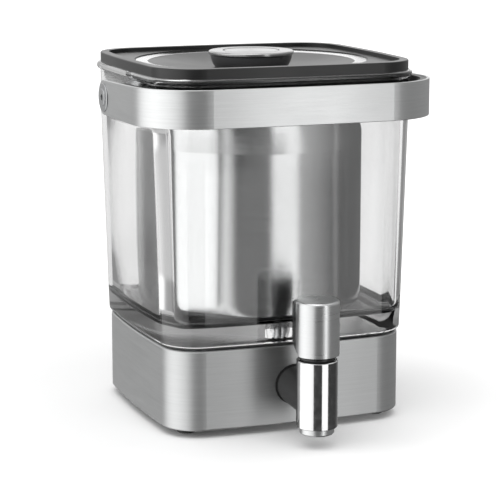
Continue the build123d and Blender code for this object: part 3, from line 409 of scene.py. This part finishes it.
def outline_point(facing, grow, corner):
    """Where the jar's rounded square, grown on all sides, faces outward in the direction facing, in
    radians."""
    half_x, half_y = HALF_WIDTH + grow, HALF_DEPTH + grow
    # The radii of the wide arcs that bow the sides, then the centre of the corner's arc that meets both.
    round_x = ((half_y - BOW) ** 2 + BOW ** 2) / (2 * BOW)
    round_y = ((half_x - BOW) ** 2 + BOW ** 2) / (2 * BOW)
    x, y = half_x - corner, half_y - corner
    for _ in range(8):
        x = math.sqrt((round_x - corner) ** 2 - y * y) + half_x - round_x
        y = math.sqrt((round_y - corner) ** 2 - x * x) + half_y - round_y
    across, along = abs(math.cos(facing)), abs(math.sin(facing))
    turned = math.atan2(along, across)
    if turned < math.atan2(y, x - half_x + round_x):
        spot = (half_x - round_x + round_x * across, round_x * along)
    elif turned > math.atan2(y - half_y + round_y, x):
        spot = (round_y * across, half_y - round_y + round_y * along)
    else:
        spot = (x + corner * across, y + corner * along)
    return (
        jar_axis.x + math.copysign(spot[0], math.cos(facing)),
        jar_axis.y + math.copysign(spot[1], math.sin(facing)),
    )


def arc(grow, height, radius, start, end, steps):
    """Points (grow, height) of an arc round a centre, between two angles: 0 is outward, 90 is up."""
    angles = [math.radians(start + (end - start) * step / steps) for step in range(steps + 1)]
    return [(grow + radius * math.cos(angle), height + radius * math.sin(angle)) for angle in angles]


# The jar's profile in metres, from its foot up the outside and over the rim: how far the outline grows,
# and the height. Down the inside below the strap, where the wall is thicker and its corners are
# tighter, the corner's radius stands between them.
FOOT, FLOOR = 0.0585, 0.0715               # heights of the jar's underside and of its floor inside
RIM, RIM_TOP = 0.228, 0.2308               # heights where the rim's bead starts and where its top rounds off
BEAD = 0.0054                              # how far the bead's middle stands out
FOOT_IN = -0.0022                          # how far the flat of the foot is drawn in
FOOT_ROUND, FLOOR_ROUND, RIM_ROUND = 0.0036, 0.007, 0.0019
INSIDE, INSIDE_CORNER = -0.0048, 0.0102    # the inside of the wall, just above its floor
outside_and_rim = [
    *arc(FOOT_IN, FOOT + FOOT_ROUND, FOOT_ROUND, -90, 0, 6),
    (0.00197, 0.08), (0.00328, 0.13), (0.00434, 0.17), (0.0051, 0.199), (0.0051, 0.2095), (0.0051, 0.22),
    (0.0051, 0.2275),
    *arc(BEAD, RIM + RIM_ROUND, RIM_ROUND, -90, 0, 5),
    *arc(BEAD, RIM_TOP, RIM_ROUND, 0, 90, 5),
    (0.0011, 0.2327), (0.0005, 0.2321), (0.0005, 0.22), (0.0005, 0.2095), (0.0005, 0.206),
]
inside = [
    (-0.0006, 0.022, 0.204), (-0.0024, 0.0145, 0.200), (-0.0028, 0.013, 0.196), (-0.0034, 0.0122, 0.16),
    (-0.0041, 0.0112, 0.12),
]
floor_edge = arc(INSIDE - FLOOR_ROUND, FLOOR + FLOOR_ROUND, FLOOR_ROUND, 0, -90, 6)
profile = [(grow, CORNER + grow, height) for grow, height in outside_and_rim]
profile += inside
profile += [(grow, INSIDE_CORNER + grow - INSIDE, height) for grow, height in floor_edge]

# The outline starts as the ring of the outlet's hole. Each vertex keeps the direction it faces, and the
# ring is extruded through the profile and back to the hole. The stipple and the painted shade of the foot
# run a little way up its rounded edge.
OUTLET_HOLE = 0.0093
STIPPLE_AND_SHADE_TOP = FOOT + 0.6 * FOOT_ROUND
STIPPLED_AND_SHADED = 1                               # the second of the jar's two materials
outlet = middle("outlet_fitting")
shape = bmesh.new()
facing = shape.verts.layers.float.new("facing")
ring = bmesh.ops.create_circle(shape, segments=288, radius=OUTLET_HOLE)["verts"]
for vert in ring:
    vert[facing] = math.atan2(vert.co.y, vert.co.x)
bmesh.ops.translate(shape, verts=ring, vec=(outlet.x, outlet.y, FOOT))
hole_edge = list(shape.edges)


def next_ring(edges, spot, height):
    """Extrudes the open ring to a height, and puts each vertex where spot says for its direction."""
    grown = bmesh.ops.extrude_edge_only(shape, edges=edges)["geom"]
    for vert in grown:
        if isinstance(vert, bmesh.types.BMVert):
            vert.co = (*spot(vert[facing]), height)
    return [part for part in grown if isinstance(part, bmesh.types.BMEdge)]


def hole_point(angle):
    """The point of the outlet's hole in that direction."""
    return outlet.x + math.cos(angle) * OUTLET_HOLE, outlet.y + math.sin(angle) * OUTLET_HOLE


edges = hole_edge
for grow, corner, height in profile:
    edges = next_ring(edges, lambda angle: outline_point(angle, grow, corner), height)
    if height < STIPPLE_AND_SHADE_TOP:
        foot_faces = list(shape.faces)
edges = next_ring(edges, hole_point, FLOOR)
bmesh.ops.bridge_loops(shape, edges=hole_edge + edges)
bmesh.ops.recalc_face_normals(shape, faces=shape.faces)
for face in shape.faces:
    face.smooth = True
# These faces get the stippled glass with its painted shade.
for face in foot_faces:
    face.material_index = STIPPLED_AND_SHADED
jar = put_in("pressed_jar", mesh_of("pressed_jar", shape))
jar.data.materials.append(clear_glass)
jar.data.materials.append(stippled_glass_painted_dark)

# One drill through both side walls makes the holes for the handle's pivots.
PIVOT_HOLE = 0.0043
pivot = middle("pivot_bushes")
bore = bmesh.new()
bmesh.ops.create_cone(
    bore, cap_ends=True, segments=48, radius1=PIVOT_HOLE, radius2=PIVOT_HOLE, depth=0.3,
    matrix=Matrix.Translation((0, pivot.y, pivot.z)) @ Matrix.Rotation(math.pi / 2, 4, "Y"),
)
drill = put_in("drill", mesh_of("drill", bore))
cut = jar.modifiers.new("pivot_holes", "BOOLEAN")
cut.operation = "DIFFERENCE"
cut.solver = "EXACT"
cut.object = drill
drilled = bpy.data.meshes.new_from_object(jar.evaluated_get(bpy.context.evaluated_depsgraph_get()))
jar.modifiers.clear()
jar.data = drilled
bpy.data.objects.remove(drill)
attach(jar, "base")
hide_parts("glass_jar")
wear(clear_glass, "glass_jar")
wear(black_rubber, "jar_gasket")

# ---------------------------------------------------------------- outlet and hose
# A turned stainless fitting through the jar's floor on a silicone seal, held by a nylon nut from below,
# with a soft silicone tube pushed on that leads to the tap.
valve_steel = turned_steel("turned_stainless", "#c4c5c6", rough=0.22)
black_nylon = moulded("black_nylon", "#171717", rough=0.4, grit=0.0006, depth=0.00004)
milky_hose = moulded("milky_silicone_hose", "#cfcfc9", rough=0.35, grit=0.0012, depth=0.00003)
wear(valve_steel, "outlet_fitting")
wear(black_rubber, "outlet_seal")
wear(black_nylon, "outlet_nut", "shank_nut")
wear(milky_hose, "feed_tube")

# ---------------------------------------------------------------- tap
# A glossy moulded body whose shank passes the base skirt and takes a nut inside. A polished half sleeve
# clips over its front, a brushed ring is pressed on the nozzle, and the lever has a brushed cap over a
# moulded core. Inside are a stainless stem and spring, and silicone seals.
tap_axis = middle("tap_nozzle")
glossy_black = moulded("glossy_black_abs", "#1d1d1d", rough=0.24, grit=0.0008, depth=0.00002)
lever_steel = brushed_steel("brushed_lever_steel", "#c6c7c7", rough=0.3, smear=0.6, axis=tap_axis)
wear(glossy_black, "tap_body", "bonnet", "lever_core")
wear(black_rubber, "shank_washer", "bonnet_seal", "valve_seal")
wear(turned_steel("polished_stainless", "#d4d4d4", rough=0.08), "tap_sleeve")
wear(lever_steel, "tap_nozzle", "lever_cap")
wear(valve_steel, "valve_stem", "valve_spring", "lever_pin")

# ---------------------------------------------------------------- pivots and handle
# One U of flat stainless strap, brushed along its length, turns on stainless pivots that are screwed
# through the glass. A nylon liner snapped inside the strap's front and corners keeps it off the jar.
strap_steel = brushed_steel(
    "belt_brushed_strap_steel", "#cacbcb", rough=0.36, smear=0.72, axis=jar_axis, streak=0.08,
)
wear(strap_steel, "handle_strap")
wear(turned_steel("brushed_pivot_steel", "#b2b3b4", rough=0.36), "pivot_washers", "pivot_screws")
wear(valve_steel, "pivot_bushes", "pivot_nuts")
wear(black_rubber, "pivot_seals")
wear(black_nylon, "handle_liner")

# ---------------------------------------------------------------- lid and knob
# A satin moulded lid that plugs the jar with a three-lipped silicone seal. Its knob is a dark moulding
# under a cap of turned steel, which shows a fan of light, and one screw from below holds both.
wear(moulded("satin_black_abs", "#141414", rough=0.33, grit=0.0009, depth=0.00002), "lid_shell")
wear(moulded("satin_grey_abs", "#4a4a4b", rough=0.3, grit=0.0009, depth=0.00003), "knob_body")
wear(black_rubber, "lid_seal")
wear(brushed_steel("turned_cap_steel", "#a6a6a6", rough=0.2, smear=0.7, axis=jar_axis), "knob_cap")


# ---------------------------------------------------------------- dish ring
# A thin polished ring of stainless sheet, pressed into the step round the lid's dish, which shows as a
# bright line round it.
def spun(name, section, steps, crease):
    """A closed section of (radius, height) in metres, turned once round the jar's axis; edges sharper
    than crease, in degrees, stay sharp."""
    shape = bmesh.new()
    corners = [shape.verts.new((jar_axis.x + radius, jar_axis.y, height)) for radius, height in section]
    outline = [shape.edges.new(pair) for pair in zip(corners, corners[1:] + corners[:1])]
    bmesh.ops.spin(
        shape, geom=corners + outline, cent=jar_axis, axis=(0, 0, 1), angle=math.tau, steps=steps,
        use_merge=True,
    )
    bmesh.ops.recalc_face_normals(shape, faces=shape.faces)
    for face in shape.faces:
        face.smooth = True
    made = mesh_of(name, shape)
    made.set_sharp_from_angle(angle=math.radians(crease))
    return put_in(name, made)


RING_IN, RING_OUT = 0.0692, 0.0774         # its radii
dish_ring = spun("dish_ring", [
    (RING_IN, 0.2353), (RING_IN, 0.23552), (RING_IN + 0.0002, 0.2357), (RING_OUT - 0.0002, 0.23617),
    (RING_OUT, 0.23605), (RING_OUT, 0.2358),
], steps=180, crease=25)
ring_steel = brushed_steel(
    "polished_ring_steel", "#e2e2e2", rough=0.12, smear=0.3, axis=jar_axis, streak=0.02,
)
dish_ring.data.materials.append(ring_steel)
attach(dish_ring, "lid")

# ---------------------------------------------------------------- steeper tube
# The steeper's wall: thin stainless sheet drawn to a plain tube and polished, so that it mirrors the
# room with a very fine grain. It has a faint rolled line below its rolled rim.
steeper_steel = brushed_steel(
    "drawn_steeper_steel", "#cccdcd", rough=0.2, smear=0.6, axis=jar_axis, streak=0.02, grain=GRAIN_WIDTH / 2,
)
SHEET = 0.0009                             # thickness of the steel
TUBE = 0.0735                              # outside radius
BORE = TUBE - SHEET                        # inside radius
WELD = 0.088                               # height of the seam between tube and heel
LINE = 0.182                               # height of the rolled line, which stands out 0.12 mm
LIP = 0.2185                               # height of the rolled rim's top
wall = spun("drawn_tube", [
    (BORE, WELD), (TUBE, WELD), (TUBE, LINE - 0.0005), (TUBE + 0.00012, LINE), (TUBE, LINE + 0.0005),
    (TUBE, 0.2161), (0.0741, 0.2163), (0.0747, 0.2166), (0.0750, 0.2173), (0.0747, 0.2180),
    (0.0741, 0.2184), (TUBE, LIP), (BORE, LIP),
], steps=160, crease=50)
wall.data.materials.append(steeper_steel)
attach(wall, "steeper")
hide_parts("steeper_tube")

# ---------------------------------------------------------------- steeper heel
# The steeper's pressed bottom, welded to the tube: a low heel with a tight corner all round, and a
# raised floor that holds the filter disc.
UNDERSIDE = 0.0724                         # height of the heel's lowest ring
ROUND_TOP = 0.0775                         # height where the 5 mm round of its corner starts
RAISED = 0.0750                            # height of the floor's underside
FILTER_HOLE = 0.052                        # radius of the opening that the filter disc covers
heel = spun("pressed_heel", [
    (TUBE, WELD), (TUBE, ROUND_TOP), (0.07329, 0.07606), (0.07267, 0.07474), (0.07171, 0.07367),
    (0.07047, 0.07291), (0.0683, UNDERSIDE), (0.0626, UNDERSIDE), (0.0613, 0.0728), (0.0604, 0.0740),
    (0.0601, RAISED), (FILTER_HOLE, RAISED), (FILTER_HOLE, RAISED + SHEET), (0.0604, RAISED + SHEET),
    (0.0612, 0.0755), (0.0616, 0.0741), (0.0628, UNDERSIDE + SHEET), (0.0683, UNDERSIDE + SHEET),
    (0.0702, 0.0738), (0.0717, 0.0752), (BORE, ROUND_TOP), (BORE, WELD),
], steps=160, crease=50)
heel.data.materials.append(steeper_steel)
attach(heel, "steeper")
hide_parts("steeper_base")

# ---------------------------------------------------------------- steeper fittings
# A filter disc of fine steel cloth in the steeper's floor, a carrying bail of round wire on two rivets
# near its rim, and a silicone ring below that it stands on.
wear(steeper_steel, "steeper_tube", "steeper_base", "steeper_mesh")
wear(valve_steel, "steeper_bail", "steeper_rivets")
wear(black_rubber, "steeper_foot")
